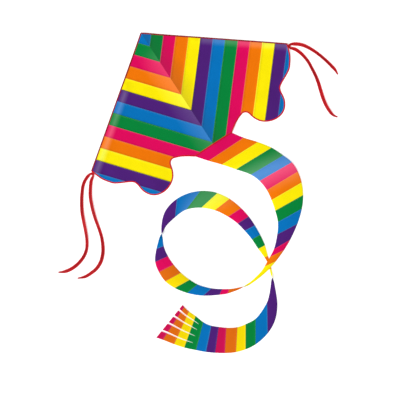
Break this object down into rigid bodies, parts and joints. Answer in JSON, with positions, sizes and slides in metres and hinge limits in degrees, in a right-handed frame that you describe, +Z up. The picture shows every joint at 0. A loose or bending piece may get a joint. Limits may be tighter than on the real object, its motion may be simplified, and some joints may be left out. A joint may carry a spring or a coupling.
{
  "type": "delta kite",
  "caption": "Single-line delta kite laid flat: striped two-wing sail on a spine, leading-edge spars, clip-in spreader, folding keel, tip streamers and a long fringed ribbon tail.",
  "frame": {"origin": "on the floor, under the middle of the laid-out kite and tail, streamers left out", "axes": "+Z up from the floor, +Y towards the nose along the spine, +X towards the right wing; the spine lies at x = 0.088 m and the nose at y = 0.772 m"},
  "size_m": [1.6454, 1.5439, 0.0123],
  "materials": {
    "sail_cloth": "ripstop nylon, printed in rainbow chevrons, satin",
    "tail_ribbon": "sewn ripstop panels in six colours, satin",
    "binding_tape": "red folded binding tape, stitched",
    "streamer_tape": "red woven tape",
    "sleeve_cloth": "doubled sail cloth, stitched",
    "keel_cloth": "sail cloth",
    "webbing": "woven reinforcement tape",
    "fibreglass_rod": "pultruded glass-fibre rod",
    "vinyl": "soft black vinyl",
    "eyelet_metal": "plated, pressed"
  },
  "bodies": {
    "spine": {"spine_rod": "fibreglass_rod", "spine_nose_cap": "vinyl", "spine_tail_cap": "vinyl", "nose_pocket": "webbing", "spine_sleeve": "sleeve_cloth", "tail_header": "tail_ribbon"},
    "left_wing": {"sail_left": "sail_cloth", "leading_binding_left": "binding_tape", "trailing_binding_left": "binding_tape", "leading_spar_left": "fibreglass_rod", "spar_upper_cap_left": "vinyl", "spar_tip_cap_left": "vinyl", "tip_pocket_left": "webbing", "leading_sleeve_upper_left": "sleeve_cloth", "leading_sleeve_lower_left": "sleeve_cloth", "stop_ring_upper_left": "vinyl", "stop_ring_lower_left": "vinyl", "spreader_connector_left": "vinyl", "hook_strip_left": "webbing", "streamer_knot_left": "streamer_tape", "streamer_outer_left": "streamer_tape", "streamer_inner_left": "streamer_tape"},
    "right_wing": {"sail_right": "sail_cloth", "leading_binding_right": "binding_tape", "trailing_binding_right": "binding_tape", "leading_spar_right": "fibreglass_rod", "spar_upper_cap_right": "vinyl", "spar_tip_cap_right": "vinyl", "tip_pocket_right": "webbing", "leading_sleeve_upper_right": "sleeve_cloth", "leading_sleeve_lower_right": "sleeve_cloth", "stop_ring_upper_right": "vinyl", "stop_ring_lower_right": "vinyl", "spreader_connector_right": "vinyl", "hook_strip_right": "webbing", "streamer_knot_right": "streamer_tape", "streamer_outer_right": "streamer_tape", "streamer_inner_right": "streamer_tape"},
    "keel": {"keel_panel": "keel_cloth", "keel_binding": "binding_tape", "keel_patch": "webbing", "keel_eyelet": "eyelet_metal"},
    "spreader": {"spreader_rod": "fibreglass_rod", "spreader_cap_left": "vinyl", "spreader_cap_right": "vinyl"},
    "tail": {"tail_run_1": "tail_ribbon", "tail_run_2": "tail_ribbon", "tail_run_3": "tail_ribbon", "tail_run_4": "tail_ribbon", "tail_run_5": "tail_ribbon", "tail_run_6": "tail_ribbon", "tail_run_7": "tail_ribbon", "tail_run_8": "tail_ribbon", "tail_run_9": "tail_ribbon", "tail_run_10": "tail_ribbon", "fringe_strip_1": "vinyl", "fringe_strip_2": "vinyl", "fringe_strip_3": "vinyl", "fringe_strip_4": "vinyl", "fringe_strip_5": "vinyl"}
  },
  "joints": [
    {"name": "left_wing_fold", "type": "hinge", "parent": "spine", "child": "left_wing", "pos_m": [0.088, 0.472, 0.0136], "axis": [0, 1, 0], "range_deg": [0, 88]},
    {"name": "right_wing_fold", "type": "hinge", "parent": "spine", "child": "right_wing", "pos_m": [0.088, 0.472, 0.0136], "axis": [0, -1, 0], "range_deg": [0, 88]},
    {"name": "keel_swing", "type": "hinge", "parent": "spine", "child": "keel", "pos_m": [0.088, 0.337, 0.0042], "axis": [0, 1, 0], "range_deg": [0, 178]},
    {"name": "spreader_release", "type": "slide", "parent": "spine", "child": "spreader", "axis": [0, 0, -1], "range_m": [0, 0.06]},
    {"name": "tail_flap", "type": "hinge", "parent": "spine", "child": "tail", "pos_m": [0.088, 0.137, 0.0124], "axis": [-1, 0, 0], "range_deg": [0, 60]}
  ]
}
